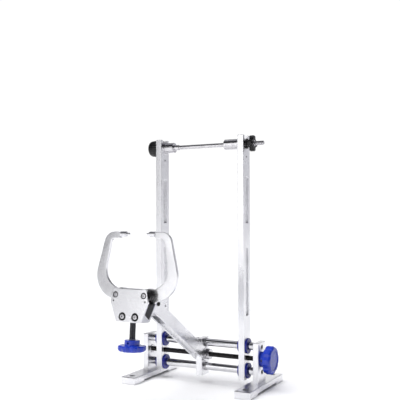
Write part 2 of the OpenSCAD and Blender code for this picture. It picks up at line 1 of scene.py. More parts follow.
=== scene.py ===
"""Truing stand for the workbench, dressed for a studio picture.

The solids of the stand come in as a fixed frame. This script gives each of them the finish
of the real metal or plastic, and stands finer pieces in for the ones that show most: screws
with their threads, knobs with their lobes, and plates, jaws and uprights with broken edges.
Sizes in the classes are in millimetres, in the frame of the stand: +X runs along the rods to
the spread knob, -Y is the side of the calliper, and the bench is at height 0.
"""

from __future__ import annotations

import logging
import math
from dataclasses import dataclass
from enum import Enum
from typing import Any, Sequence

import bmesh
import bpy
import numpy as np
from mathutils import Matrix, Vector
from mathutils.geometry import tessellate_polygon


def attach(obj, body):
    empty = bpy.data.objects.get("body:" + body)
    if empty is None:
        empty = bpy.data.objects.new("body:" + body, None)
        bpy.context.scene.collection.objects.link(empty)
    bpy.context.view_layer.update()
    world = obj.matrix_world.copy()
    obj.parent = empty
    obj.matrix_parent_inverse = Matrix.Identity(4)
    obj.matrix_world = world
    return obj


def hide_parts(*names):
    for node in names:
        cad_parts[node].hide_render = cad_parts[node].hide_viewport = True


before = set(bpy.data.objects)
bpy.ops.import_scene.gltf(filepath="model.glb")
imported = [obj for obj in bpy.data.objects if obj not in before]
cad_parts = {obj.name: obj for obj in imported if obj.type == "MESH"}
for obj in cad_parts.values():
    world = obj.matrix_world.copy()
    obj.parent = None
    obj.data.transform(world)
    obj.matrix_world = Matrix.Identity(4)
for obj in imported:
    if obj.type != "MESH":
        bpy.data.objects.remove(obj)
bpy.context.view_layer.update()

log = logging.getLogger("truing_stand")
Array = np.ndarray
Pair = tuple[float, float]
Triple = tuple[float, float, float]
Rows = tuple[tuple[float, ...], ...]
MM = 0.001
SIDES = (-1, 1)
# Points round a screw or a hole, and rows in each pitch of a thread
ROUND = 48
FINE = 8
# Heights above the bench, and the jaws' pivots in the plane of the head, in mm
ROD_HEIGHTS = (31.5, 77.0)
SCREW_HEIGHT = 54.7
SPINDLE_HEIGHT = 453.0
JAW_PIVOT = (26.6, 44.5)
# Rise of the arm towards the calliper and lean of the calliper, in degrees
ARM_RISE = 32.1
HEAD_LEAN = 4.5


# ---------- drawing


def unit(v: Array) -> Array:
    """The same directions at length 1; a zero length stays zero."""
    size = np.linalg.norm(v, axis=-1, keepdims=True)
    return v / np.where(size < 1e-12, 1.0, size)


def turns(count: int) -> Array:
    """That many even steps of a full turn, in radians."""
    return np.arange(count) / count * 2 * math.pi


@dataclass(frozen=True)
class Place:
    """A plane to draw in, with an origin in mm and three unit directions."""

    origin: Triple
    across: Triple
    up: Triple
    deep: Triple

    def put(self, u: Array, v: Array, d: Array) -> Array:
        """Points at u across, v up and d deep from the origin, in mm, along one more axis."""
        u, v, d = np.broadcast_arrays(u, v, d)
        axes = np.array([self.across, self.up, self.deep])
        return np.array(self.origin) + np.stack([u, v, d], -1) @ axes

    def spun(self, along: Array, radius: Array, turn: Array) -> Array:
        """Points at that radius and turn about the depth axis."""
        return self.put(radius * np.cos(turn), radius * np.sin(turn), along)

    def moved(self, u: float = 0, v: float = 0, d: float = 0) -> Place:
        """The same plane with its origin moved inside it."""
        return Place(tuple(self.put(u, v, d)), self.across, self.up, self.deep)


def side(x: float, towards: int = 1, z: float = 0) -> Place:
    """The plane across the rods at that x and height: Y across, Z up and depth along X."""
    return Place((x, 0, z), (0, 1, 0), (0, 0, 1), (towards, 0, 0))


LEAN = math.radians(HEAD_LEAN)
HEAD = Place((0, -242.4, 147.0), (1, 0, 0), (0, math.sin(LEAN), math.cos(LEAN)),
             (0, math.cos(LEAN), -math.sin(LEAN)))
RISE = math.radians(ARM_RISE)


def on_arm(x: float, towards: int) -> Place:
    """The arm's side view at that x: across runs up along the arm's back, away from its head."""
    return Place((x, 0, SCREW_HEIGHT), (0, math.cos(RISE), -math.sin(RISE)),
                 (0, math.sin(RISE), math.cos(RISE)), (towards, 0, 0))


def down_head(u: float, w: float) -> Place:
    """The plane square to the head's height, its depth pointing down the adjuster."""
    return Place(tuple(HEAD.put(u, w, 0)), HEAD.across, HEAD.deep,
                 tuple(-np.array(HEAD.up)))


def softened(corners: Sequence[Sequence[float]], closed: bool = True, steps: int = 6) -> Array:
    """The (n, 2) points of a line of corners, each one rounded to its own radius.

    The arc at a corner touches both of its sides: its centre lies on the bisector, at the
    radius over the sine of half the corner's angle.

    Args:
        corners: rows of x, y and radius; a radius of 0 keeps the corner sharp.
        closed: whether the last corner joins the first.
        steps: pieces in each arc.
    """
    table = np.array(corners, float)
    p, r = table[:, :2], table[:, 2].copy()
    if not closed:
        r[0] = r[-1] = 0
    u, v = unit(np.roll(p, 1, 0) - p), unit(np.roll(p, -1, 0) - p)
    half = np.arccos(np.clip((u * v).sum(1), -1, 1)) / 2
    half = np.clip(half, 1e-3, math.pi / 2 - 1e-6)
    centre = p + unit(u + v) * (r / np.sin(half))[:, None]
    reach = (r / np.tan(half))[:, None]
    first, last = p + u * reach - centre, p + v * reach - centre
    start = np.arctan2(first[:, 1], first[:, 0])
    sweep = np.arctan2(last[:, 1], last[:, 0]) - start
    sweep = (sweep + math.pi) % (2 * math.pi) - math.pi
    turn = start[:, None] + sweep[:, None] * np.linspace(0, 1, steps + 1)
    arc = centre[:, None] + r[:, None, None] * np.stack([np.cos(turn), np.sin(turn)], -1)
    points = np.where(r[:, None, None] > 0, arc, p[:, None]).reshape(-1, 2)
    keep = np.linalg.norm(points - np.roll(points, 1, 0), axis=1) > 1e-5
    keep[0] |= not closed
    return points[keep]


def circle(radius: float, u: float = 0, v: float = 0, count: int = ROUND) -> Array:
    """A round loop of points about (u, v)."""
    turn = turns(count)
    return np.stack([u + radius * np.cos(turn), v + radius * np.sin(turn)], -1)


def arc(u: float, v: float, radius: float, start: float, end: float, count: int = 24) -> Array:
    """Points of an arc between two angles in degrees, with a radius column of 0 for softened()."""
    turn = np.radians(np.linspace(start, end, count))
    return np.stack([u + radius * np.cos(turn), v + radius * np.sin(turn), 0 * turn], -1)


def rounded(edge: float) -> Array:
    """A quarter round over an edge, as rows of (distance into the material, depth)."""
    turn = np.linspace(0, math.pi / 2, 4)
    return np.stack([edge * (1 - np.sin(turn)), edge * (1 - np.cos(turn))], -1)


def broken_edges(thickness: float, edge: float) -> Array:
    """The way of a wall between two faces with rounded edges, from the front to the back."""
    front = rounded(edge)
    return np.concatenate([front, (front * (1, -1) + (0, thickness))[::-1]])


@dataclass(frozen=True)
class Cut:
    """An (n, 2) loop of a plate: its outside, a hole, or a blind hole if not through.

    The wall's rows are (distance into the material, depth), from the front.
    """

    loop: Array
    wall: Array
    through: bool = True

    def rings(self, outside: bool) -> Array:
        """The loop at each depth, as (rows, n, 3) values; outside has the material inside it.

        Each point moves along the mean of the normals of its two sides, by the distance that
        keeps the sides parallel: the sum of the normals over one plus their dot product.
        """
        x, y = self.loop.T
        area = (x * np.roll(y, -1) - np.roll(x, -1) * y).sum()
        loop = self.loop if (area > 0) == outside else self.loop[::-1]
        step = unit(np.roll(loop, -1, 0) - loop)
        normal = np.stack([-step[:, 1], step[:, 0]], -1)
        before = np.roll(normal, 1, 0)
        mitre = (normal + before) / (1 + (normal * before).sum(1, keepdims=True))
        flat = loop[None] + self.wall[:, :1, None] * mitre[None]
        depth = np.broadcast_to(self.wall[:, 1:2, None], flat.shape[:2] + (1,))
        return np.concatenate([flat, depth], -1)


def drilled(radius: float, u: float, v: float, thickness: float, edge: float = 0.3,
            count: int = ROUND) -> Cut:
    """A round hole at (u, v) through a plate of that thickness, with broken edges."""
    wall = np.array([(edge, 0), (0, edge), (0, thickness - edge), (edge, thickness)], float)
    return Cut(circle(radius, u, v, count), wall)


def socket(across: float, depth: float) -> Cut:
    """A hexagon socket of that size across its flats."""
    wall = np.array([(0.15, 0), (0, 0.15), (0, depth)], float)
    return Cut(circle(across / math.sqrt(3), count=6), wall, through=False)


def new_object(name: str, data: bpy.types.ID) -> bpy.types.Object:
    """A new object in the scene."""
    made = bpy.data.objects.new(name, data)
    bpy.context.scene.collection.objects.link(made)
    return made


class Shell:
    """Closed surfaces of one piece, gathered as whole arrays of points in mm."""

    def __init__(self) -> None:
        """Starts empty."""
        self.points: list[Array] = []
        self.faces: list[list[int]] = []
        self.count = 0

    def hold(self, points: Array) -> int:
        """Keeps more points and returns the number of the first."""
        first = self.count
        self.points.append(points.reshape(-1, 3))
        self.count += len(self.points[-1])
        return first

    def sheet(self, grid: Array, closed_rows: bool = False) -> None:
        """A surface over (rows, columns, 3) points whose columns close, and rows if asked."""
        rows, columns = grid.shape[:2]
        index = self.hold(grid) + np.arange(rows * columns).reshape(rows, columns)
        if closed_rows:
            index = np.concatenate([index, index[:1]])
        a, b = index[:-1], index[1:]
        quads = np.stack([a, np.roll(a, -1, 1), np.roll(b, -1, 1), b], -1)
        self.faces += quads.reshape(-1, 4).tolist()

    def face(self, place: Place, loops: list[Array]) -> None:
        """A flat face between loops of (u, v, depth) points: the outer one and its holes."""
        tris = tessellate_polygon([[Vector((u, v, 0)) for u, v, _ in loop.tolist()]
                                   for loop in loops])
        flat = np.concatenate(loops)
        first = self.hold(place.put(*flat.T))
        self.faces += (np.array(tris, int) + first).tolist()

    def plate(self, place: Place, outside: Cut, *cuts: Cut) -> Shell:
        """Adds a plate, its front in the plane, whose walls follow the way of each loop."""
        outer = outside.rings(True)
        holes = [(cut, cut.rings(False)) for cut in cuts]
        for cut, rings in [(outside, outer), *holes]:
            self.sheet(place.put(*np.moveaxis(rings, -1, 0)))
            if not cut.through:
                self.face(place, [rings[-1]])
        self.face(place, [outer[0]] + [rings[0] for _, rings in holes])
        if outside.through:
            back = [rings[-1] for cut, rings in holes if cut.through]
            self.face(place, [outer[-1]] + back)
        return self

    def turned(self, place: Place, profile: Array, count: int = 64, closed: bool = False,
               lobes: Lobes | None = None) -> Shell:
        """Adds rows of (along, radius) turned about the depth axis, joined up if closed."""
        turn = turns(count)
        along, radius = profile[:, :1], profile[:, 1:] + 0 * turn
        if lobes:
            radius = lobes.shape(radius, turn)
        self.sheet(place.spun(along, radius, turn), closed_rows=closed)
        return self

    def bar(self, place: Place, *sections: Any) -> Shell:
        """Adds a bar along the depth axis from profiles and threads of (along, radius)."""
        parts = [np.array(section, float) for section in sections]
        grids = [p if p.ndim == 3 else np.repeat(p[:, None], ROUND, 1) for p in parts]
        along, radius = np.moveaxis(np.concatenate(grids), -1, 0)
        self.sheet(place.spun(along, radius, turns(ROUND)))
        return self

    def mesh(self, name: str) -> bpy.types.Mesh:
        """The gathered surfaces as one mesh, in metres, its faces outward."""
        mesh = bpy.data.meshes.new(name)
        mesh.from_pydata((np.concatenate(self.points) * MM).tolist(), [], self.faces)
        work = bmesh.new()
        work.from_mesh(mesh)
        bmesh.ops.remove_doubles(work, verts=work.verts, dist=2e-6)
        bmesh.ops.dissolve_degenerate(work, dist=1e-7, edges=work.edges)
        bmesh.ops.recalc_face_normals(work, faces=work.faces)
        work.to_mesh(mesh)
        work.free()
        return mesh

    def less(self, bore: Shell, name: str) -> bpy.types.Mesh:
        """The mesh with the solid of another shell cut out of it."""
        pair = [new_object(name, shell.mesh(name)) for shell in (self, bore)]
        cut = pair[0].modifiers.new("bore", "BOOLEAN")
        cut.object, cut.operation, cut.solver = pair[1], "DIFFERENCE", "EXACT"
        graph = bpy.context.evaluated_depsgraph_get()
        mesh = bpy.data.meshes.new_from_object(pair[0].evaluated_get(graph))
        for made in pair:
            bpy.data.meshes.remove(made.data)
        return mesh

    def piece(self, node: str, look: str, finish: bpy.types.Material, body: str,
              sharp: float = 33.0, bore: Shell | None = None) -> None:
        """Makes the surfaces one object, rides it on its body and stands it in for its solid.

        Args:
            node: the solid that it stands for.
            look: how it is made, which ends its name.
            finish: its material.
            body: the body that it moves with.
            sharp: angle in degrees over which an edge stays sharp.
            bore: a solid to cut out of it.
        """
        name = f"{node}_{look}"
        mesh = self.less(bore, name) if bore else self.mesh(name)
        mesh.name = name
        mesh.shade_smooth()
        mesh.set_sharp_from_angle(angle=math.radians(sharp))
        made = new_object(name, mesh)
        mesh.materials.clear()
        mesh.materials.append(finish)
        weigh = made.modifiers.new("face weighted normals", "WEIGHTED_NORMAL")
        weigh.keep_sharp = True
        weigh.weight = 80
        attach(made, body)
        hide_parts(node)
        log.info("%s: %d faces, on %s", name, len(mesh.polygons), body)


@dataclass(frozen=True)
class Lobes:
    """Round hollows in a rim, which leave lobes for the fingers between them.

    The hollows' centres are at reach from the axis, nothing changes inside the radius inner,
    and a hollow's lip is rounded over the length soft.
    """

    rim: float
    count: int
    reach: float
    hollow: float
    inner: float
    soft: float

    def shape(self, radius: Array, turn: Array) -> Array:
        """Draws (rows, columns) radii in where a hollow cuts the rim.

        A ray at angle a from a hollow's centre line meets its circle at D cos a less the root
        of q squared less the square of D sin a. The rim takes the smaller of that and its own
        radius, blended over a short length, and points inside it follow in proportion.
        """
        pitch = 2 * math.pi / self.count
        off = (turn - pitch) % pitch - pitch / 2
        inside = self.hollow**2 - (self.reach * np.sin(off)) ** 2
        met = self.reach * np.cos(off) - np.sqrt(np.maximum(inside, 0))
        met = np.where(inside > 0, met, self.rim + self.soft)
        blend = np.maximum(self.soft - np.abs(met - self.rim), 0) / self.soft
        edge = np.minimum(met, self.rim) - blend**2 * self.soft / 4
        share = np.clip((radius - self.inner) / (self.rim - self.inner), 0, 1)
        return radius - (self.rim - edge) * share


def threaded(start: float, end: float, major: float, depth: float, pitch: float,
             starts: int = 1, hand: int = 1) -> Array:
    """The (rows, columns, 2) values of (along, radius) of a screw thread.

    The phase of a point is its place along the axis over the pitch, less the starts times its
    turn. The tooth is a wave of flats and straight flanks in that phase: full radius near
    phase 0, and the depth less near phase one half. It fades out over its last 1.5 pitches.

    Args:
        start: first place along the axis.
        end: last place.
        major: radius over the thread.
        depth: of the thread.
        pitch: distance between neighbouring turns.
        starts: threads side by side.
        hand: 1 for right-handed, -1 for left-handed.
    """
    rows = int((end - start) / pitch * FINE) + 1
    along = np.linspace(start, end, rows)[:, None]
    phase = (along / pitch - hand * starts * np.arange(ROUND) / ROUND) % 1.0
    tooth = np.clip((0.5 - np.abs(phase - 0.5)) * 2 / 0.4 - 0.75, 0, 1)
    fade = np.clip(np.minimum(along - start, end - along) / (1.5 * pitch), 0, 1)
    radius = major - depth * tooth * fade
    return np.stack([np.broadcast_to(along, radius.shape), radius], -1)


# ---------- finishes


def linear(hex_colour: str) -> tuple[float, float, float, float]:
    """An sRGB hex colour as linear light."""
    value = np.array([int(hex_colour[i:i + 2], 16) for i in (1, 3, 5)]) / 255
    light = np.where(value <= 0.04045, value / 12.92, ((value + 0.055) / 1.055) ** 2.4)
    return (*light.tolist(), 1.0)


def add(tree: bpy.types.NodeTree, kind: str, links: dict[str, Any] | None = None,
        values: dict[str, Any] | None = None, **settings: Any) -> bpy.types.Node:
    """Adds a node with its settings, its inputs' values, and links from sockets to inputs."""
    node = tree.nodes.new(kind)
    for key, value in settings.items():
        setattr(node, key, value)
    for key, value in (values or {}).items():
        node.inputs[int(key) if key.isdigit() else key].default_value = value
    for key, source in (links or {}).items():
        tree.links.new(source, node.inputs[int(key) if key.isdigit() else key])
    return node


class Grain(Enum):
    """Direction of a surface's fine lines, as stretches of its noise along X, Y and Z."""

    ALONG_X = (0.03, 1.0, 1.0)
    ALONG_Y = (1.0, 0.03, 1.0)
    ALONG_Z = (1.0, 1.0, 0.03)
    EVEN = (1.0, 1.0, 1.0)
    ROUND_X = (1.0, 0.03, 0.03)


@dataclass(frozen=True)
class Finish:
    """A surface: how the real one was made, and what that gives the eye.

    Attributes:
        slot: the record's material slot.
        colour: sRGB hex of the clean surface.
        worn: sRGB hex where it is handled or stained.
        spread: how far roughness wanders either way.
        grain_mm: size of its fine lines or grain.
        relief_mm: height of the grain.
        blotch_mm: size of the slow changes in tone.
        turn: lean of the grain about X, in degrees.
        coat: weight of a clear gloss over it.
        shine: strength of the gloss of a plastic.
    """

    name: str
    slot: str
    colour: str
    worn: str
    metallic: float
    roughness: float
    spread: float
    grain_mm: float
    grain: Grain = Grain.EVEN
    relief_mm: float = 0.004
    blotch_mm: float = 35.0
    turn: float = 0.0
    coat: float = 0.0
    shine: float = 0.5

    def build(self) -> bpy.types.Material:
        """Makes the material: fine grain in colour, roughness and relief, over slow blotches."""
        material = bpy.data.materials.new(self.name)
        material.use_nodes = True
        material["slot"] = self.slot
        tree = material.node_tree
        tree.nodes.clear()
        where = add(tree, "ShaderNodeTexCoord").outputs["Object"]
        laid = add(tree, "ShaderNodeMapping", {"Vector": where},
                   {"Rotation": (math.radians(self.turn), 0, 0), "Scale": self.grain.value},
                   vector_type="POINT").outputs["Vector"]
        fine, slow = (add(tree, "ShaderNodeTexNoise", {"Vector": vector},
                          {"Scale": 1 / (size * MM), "Detail": detail, "Roughness": rough}
                          ).outputs["Fac"]
                      for vector, size, detail, rough in ((laid, self.grain_mm, 3.0, 0.6),
                                                          (where, self.blotch_mm, 2.0, 0.5)))
        both = add(tree, "ShaderNodeMath", {"0": fine, "1": slow}, operation="ADD").outputs[0]
        tone, rough = (add(tree, "ShaderNodeMapRange", {"Value": both},
                           {"From Min": low, "From Max": high, "To Min": start, "To Max": end}
                           ).outputs[0]
                       for low, high, start, end in (
                           (0.75, 1.35, 0.0, 1.0),
                           (0.7, 1.3, self.roughness - self.spread, self.roughness + self.spread)))
        colour = add(tree, "ShaderNodeMix", {"Factor": tone},
                     {"6": linear(self.colour), "7": linear(self.worn)}, data_type="RGBA")
        relief = add(tree, "ShaderNodeBump", {"Height": fine},
                     {"Strength": 1.0, "Distance": self.relief_mm * MM})
        shader = add(tree, "ShaderNodeBsdfPrincipled",
                     {"Base Color": colour.outputs["Result"], "Roughness": rough,
                      "Normal": relief.outputs["Normal"]},
                     {"Metallic": self.metallic, "Coat Weight": self.coat,
                      "Coat Roughness": 0.15, "Specular IOR Level": self.shine})
        add(tree, "ShaderNodeOutputMaterial", {"Surface": shader.outputs["BSDF"]})
        return material


def aluminium(name: str, grain: Grain, turn: float = 0.0, grain_mm: float = 1.3) -> Finish:
    """Clear anodised aluminium, its lines drawn ten times as wide as real ones, to show."""
    return Finish(name, "milled_aluminium", "#EEEEF0", "#E2E2E5", 1.0, 0.29, 0.05,
                  grain_mm, grain, 0.004, 45.0, turn)


class Finishes:
    """Every finish on the stand, made once."""

    def __init__(self) -> None:
        """Builds the materials."""
        self.alu_x, self.alu_y, self.alu_z = (
            aluminium(f"anodised aluminium, drawn along {axis}", Grain[f"ALONG_{axis}"]).build()
            for axis in "XYZ")
        self.alu_arm = aluminium("anodised aluminium, drawn along the arm", Grain.ALONG_Y,
                                 turn=ARM_RISE).build()
        self.alu_even = aluminium("bead blasted anodised aluminium", Grain.EVEN,
                                  grain_mm=0.6).build()
        # Ground round its length, then plated, so almost a mirror
        self.chrome = Finish("hard chromed steel bar", "ground_steel", "#E2E2E4", "#D2D2D6", 1.0,
                             0.09, 0.03, 0.9, Grain.ROUND_X, 0.001, 60.0).build()
        # The tool leaves fine rings round the axis
        self.turned = Finish("turned steel", "turned_steel", "#D5D4D6", "#BDBCC0", 1.0, 0.2,
                             0.05, 0.7, Grain.ROUND_X, 0.003, 20.0).build()
        self.screw = Finish("nickel plated steel", "turned_steel", "#CFCED0", "#AFAEB2", 1.0,
                            0.24, 0.06, 0.5, Grain.EVEN, 0.002, 12.0).build()
        # A thin dark skin on steel, a little oily, greyer where it rubs
        self.oxide = Finish("black oxide steel", "black_steel", "#1B1A1C", "#2C2A2B", 0.55, 0.3,
                            0.07, 0.6, Grain.EVEN, 0.004, 10.0).build()
        # A dark skin over a rolled thread, bright where light catches it
        self.black_zinc = Finish("black zinc plated steel", "black_steel", "#4C4C50", "#5A5A5E",
                                 1.0, 0.13, 0.04, 0.6, Grain.EVEN, 0.002, 10.0).build()
        self.pin = Finish("satin ground steel", "turned_steel", "#E6E6E8", "#D2D2D6", 1.0, 0.34,
                          0.05, 0.6, Grain.ROUND_X, 0.002, 12.0).build()
        # Moulded plastics: the fine spark-eroded skin of the mould
        self.black = Finish("black moulded nylon", "black_plastic", "#08080A", "#0F0F11", 0.0,
                            0.32, 0.05, 0.5, Grain.EVEN, 0.005, 18.0, shine=0.35).build()
        self.blue = Finish("blue moulded nylon", "blue_knob", "#0F2DA4", "#1838B4", 0.0, 0.26,
                           0.05, 0.6, Grain.EVEN, 0.004, 22.0, coat=0.2).build()
        self.navy = Finish("dark blue moulded acetal", "navy_bush", "#1B2280", "#232C92", 0.0,
                           0.32, 0.05, 0.5, Grain.EVEN, 0.004, 15.0, coat=0.1).build()


def dress(finish: bpy.types.Material, *nodes: str) -> None:
    """Gives solids that stay as they are their finish."""
    for name in nodes:
        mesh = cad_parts[name].data
        mesh.materials.clear()
        mesh.materials.append(finish)


# ---------- the stand


@dataclass
class Screw:
    """A socket screw: a round head with a hexagon socket, and its shank.

    The head and shank are given by their radii, the key across its flats, the rounding of the
    head's rim as its crown, and the depth of the socket in heights of the head as sunk.
    """

    head: float
    height: float
    shank: float
    length: float
    key: float
    crown: float = 0.5
    chamfer: float = 0.4
    sunk: float = 0.62

    def cut_into(self, shell: Shell, place: Place) -> Shell:
        """Adds the screw, the top of its head in the plane and its shank running deep."""
        thin, end = self.head - self.shank, self.height + self.length
        rest = [(0, self.height), (thin, self.height), (thin, end - self.chamfer),
                (thin + self.chamfer, end)]
        wall = np.concatenate([rounded(self.crown), rest])
        return shell.plate(place, Cut(circle(self.head), wall, through=False),
                           socket(self.key, self.height * self.sunk))


@dataclass
class LobedKnob:
    """A moulded knob: a neck below a head with finger hollows and a dished face.

    The neck, head, bore and hollows are given by their radii. The dome rounds the face's rim,
    the lip is the rim's width round the dish, and the hollows' centres are hollow_out outside
    the head.
    """

    neck: float
    neck_height: float
    head: float
    head_height: float
    bore: float
    bore_depth: float
    dish: float
    lobes: int = 8
    dome: float = 5.0
    lip: float = 8.5
    hollow: float = 8.0
    hollow_out: float = 5.8

    def cut_into(self, shell: Shell, place: Place) -> Shell:
        """Adds the knob, the end of its neck in the plane and its head running deep."""
        top = self.neck_height + self.head_height
        dish = self.head - self.lip
        profile = softened([
            (self.bore_depth, 0, 0), (self.bore_depth, self.bore, 0), (0, self.bore, 0),
            (0, self.neck, 1.0), (self.neck_height, self.neck, 1.2),
            (self.neck_height, self.head, 2.4), (top, self.head, self.dome),
            (top, dish + 0.9, 0.9), (top - self.dish, dish, 0.8), (top - self.dish, 0, 0),
        ], closed=False)
        rim = Lobes(self.head, self.lobes, self.head + self.hollow_out, self.hollow, dish + 1.2,
                    soft=0.7)
        return shell.turned(place, profile, count=28 * self.lobes, lobes=rim)

    def pin_hole(self, place: Place, radius: float) -> Shell:
        """A set screw's hole as a solid, from outside the neck to past the axis of its bore."""
        way = [(-3.0, 0), (-3.0, radius + 3.4), (0.4, radius), (self.neck, radius),
               (self.neck, 0)]
        return Shell().turned(place, np.array(way), count=32)


@dataclass
class Base:
    """Feet, end plates, guide rods and the centre block.

    A ring beside the block is given by its bore, outer radius and width.
    """

    finishes: Finishes
    block_half: float = 6.2
    ring: Triple = (7.03, 8.0, 4.0)
    screw_face: float = 121.9

    def build(self) -> None:
        """Dresses the base and adds its rings and rod screws."""
        f = self.finishes
        dress(f.alu_y, "left_foot", "right_foot")
        dress(f.alu_z, "left_end_plate", "right_end_plate", "centre_block")
        dress(f.chrome, "upper_guide_rod", "lower_guide_rod", "pivot_sleeve")
        dress(f.oxide, "foot_screws", "block_set_screws")
        dress(f.turned, "screw_bushes")
        bore, outer, width = self.ring
        chamfer, edge = 0.25, 0.5
        profile = softened([(0, bore + chamfer, 0), (0, outer, edge), (width, outer, edge),
                            (width, bore + chamfer, 0), (width - chamfer, bore, 0),
                            (chamfer, bore, 0)], steps=4)
        screw = Screw(head=4.25, height=5.0, shank=2.48, length=4.0, key=4.0)
        rings, screws = Shell(), Shell()
        for z in ROD_HEIGHTS:
            for way in SIDES:
                rings.turned(side(way * self.block_half, way, z), profile, closed=True)
                screw.cut_into(screws, side(way * self.screw_face, -way, z))
        rings.piece("rod_rings", "turned", f.turned, "base")
        screws.piece("rod_screws", "black", f.oxide, "base")


@dataclass
class SpreadDrive:
    """The screw that spreads the uprights, and its knob.

    The journal is the radius of the plain parts and major the radius over the threads, which
    are left-handed on the left and right-handed on the right.
    """

    finishes: Finishes
    journal: float = 4.0
    major: float = 4.5
    thread: Pair = (17.9, 110.5)
    ends: Pair = (-122.9, 143.2)
    knob_start: float = 123.2

    def build(self) -> None:
        """Makes the screw and knob and dresses the collars."""
        f = self.finishes
        dress(f.turned, "screw_collars")
        dress(f.oxide, "collar_set_screws", "knob_set_screw")
        a, b = self.thread
        j, m, chamfer, root = self.journal, self.major, 0.6, self.major - 0.4
        left, right = self.ends
        Shell().bar(
            side(0, z=SCREW_HEIGHT),
            [(left, 0), (left, j - chamfer), (left + chamfer, j), (-b, j), (-b, root)],
            threaded(-b, -a, m, 0.5, 2.0, starts=2, hand=-1),
            [(-a, root), (-a, j), (a, j), (a, root)],
            threaded(a, b, m, 0.5, 2.0, starts=2),
            [(b, root), (b, j), (right - chamfer, j), (right, j - chamfer), (right, 0)],
        ).piece("lead_screw", "threaded", f.oxide, "leadscrew")
        knob = LobedKnob(neck=14.0, neck_height=8.8, head=25.5, head_height=15.2, bore=4.03,
                         bore_depth=20.2, dish=1.2)
        front = Place((self.knob_start + knob.neck_height / 2, -knob.neck, SCREW_HEIGHT),
                      (1, 0, 0), (0, 0, 1), (0, 1, 0))
        knob.cut_into(Shell(), side(self.knob_start, z=SCREW_HEIGHT)).piece(
            "spread_knob", "lobed", f.blue, "leadscrew", 45, knob.pin_hole(front, 2.52))


@dataclass
class Sided:
    """A part of one side of the stand: its way is -1 on the left and 1 on the right."""

    finishes: Finishes
    way: int

    @property
    def label(self) -> str:
        """The side's name."""
        return "left" if self.way < 0 else "right"

    def give(self, shell: Shell, node: str, look: str, finish: bpy.types.Material,
             body: str) -> None:
        """Makes the shell that side's piece."""
        shell.piece(f"{self.label}_{node}", look, finish, f"{self.label}_{body}")


@dataclass
class Upright(Sided):
    """One slotted upright with its bushes, nut and axle sleeve."""

    inner: float = 82.0
    thickness: float = 12.2
    half_width: float = 15.0
    bottom: float = 15.8
    top: float = 469.0
    notch: float = 8.5
    slot_half: float = 5.8
    slot_corner: float = 2.5
    slots: Rows = ((133.0, 258.0), (305.0, 391.0))
    index_hole: Pair = (2.0, 429.0)
    bush_bore: float = 9.02
    nut_bore: float = 8.02

    def build(self) -> None:
        """Makes the upright's pieces."""
        dress(self.finishes.turned, f"{self.label}_screw_nut")
        self.bar()
        self.bushes()
        self.sleeve()

    def bar(self) -> None:
        """The bar itself, with its notch, slots and bores."""
        w, n, t = self.half_width, self.notch, self.thickness
        bow = arc(0, SPINDLE_HEIGHT, n, 0, -180, 25)
        outline = softened([(-w, self.bottom, 0.8), (w, self.bottom, 0.8), (w, self.top, 0.8),
                            (n, self.top, 0.6), *bow, (-n, self.top, 0.6),
                            (-w, self.top, 0.8)], steps=3)
        cuts = [drilled(self.bush_bore, 0, z, t) for z in ROD_HEIGHTS]
        cuts.append(drilled(self.nut_bore, 0, SCREW_HEIGHT, t))
        cuts.append(drilled(self.index_hole[0], 0, self.index_hole[1], t, count=24))
        s, r = self.slot_half, self.slot_corner
        for low, high in self.slots:
            slot = softened([(-s, low, r), (s, low, r), (s, high, r), (-s, high, r)])
            cuts.append(Cut(slot, broken_edges(t, 0.5)))
        shell = Shell().plate(side(self.way * self.inner, self.way),
                              Cut(outline, broken_edges(t, 0.6)), *cuts)
        self.give(shell, "upright", "bar", self.finishes.alu_z, "slide")

    def bushes(self) -> None:
        """Flanged bushes on the guide rods, pressed in from both faces."""
        deep = self.thickness / 2 - 0.05
        profile = softened([(-deep, 7.3, 0.1), (-deep, 9.0, 0.2), (0, 9.0, 0), (0, 14.2, 0.3),
                            (3.0, 14.2, 0.9), (3.0, 9.4, 0.4), (3.0, 7.6, 0), (2.6, 7.05, 0),
                            (0.3 - deep, 7.05, 0)], steps=4)
        shell = Shell()
        outer = self.way * (self.inner + self.thickness)
        for z in ROD_HEIGHTS:
            shell.turned(side(outer, self.way, z), profile, closed=True)
            shell.turned(side(self.way * self.inner, -self.way, z), profile, closed=True)
        self.give(shell, "bushes", "flanged", self.finishes.navy, "slide")

    def sleeve(self) -> None:
        """The turned sleeve that sits in the notch, with a long nose on the left."""
        spigot, flange, body = self.thickness - 0.3, 3.0, 10.0
        front = [(-spigot, 4.4, 0.1), (-spigot, 8.45, 0.5), (0, 8.45, 0), (0, 12.0, 0.4),
                 (flange, 12.0, 0.6), (flange, body, 0.1)]
        if self.way < 0:
            nose = [(22.0, body, 0.8), (22.0, 5.4, 0.3), (32.0, 5.4, 0.6), (32.0, 4.3, 0),
                    (31.7, 4.05, 0)]
        else:
            nose = [(31.6, body, 0.9), (31.6, 4.3, 0), (31.3, 4.05, 0)]
        profile = softened([*front, *nose, (-spigot + 0.3, 4.05, 0)], steps=4)
        place = side(self.way * self.inner, -self.way, SPINDLE_HEIGHT)
        self.give(Shell().turned(place, profile, closed=True), "axle_sleeve", "turned",
                  self.finishes.turned, "slide")


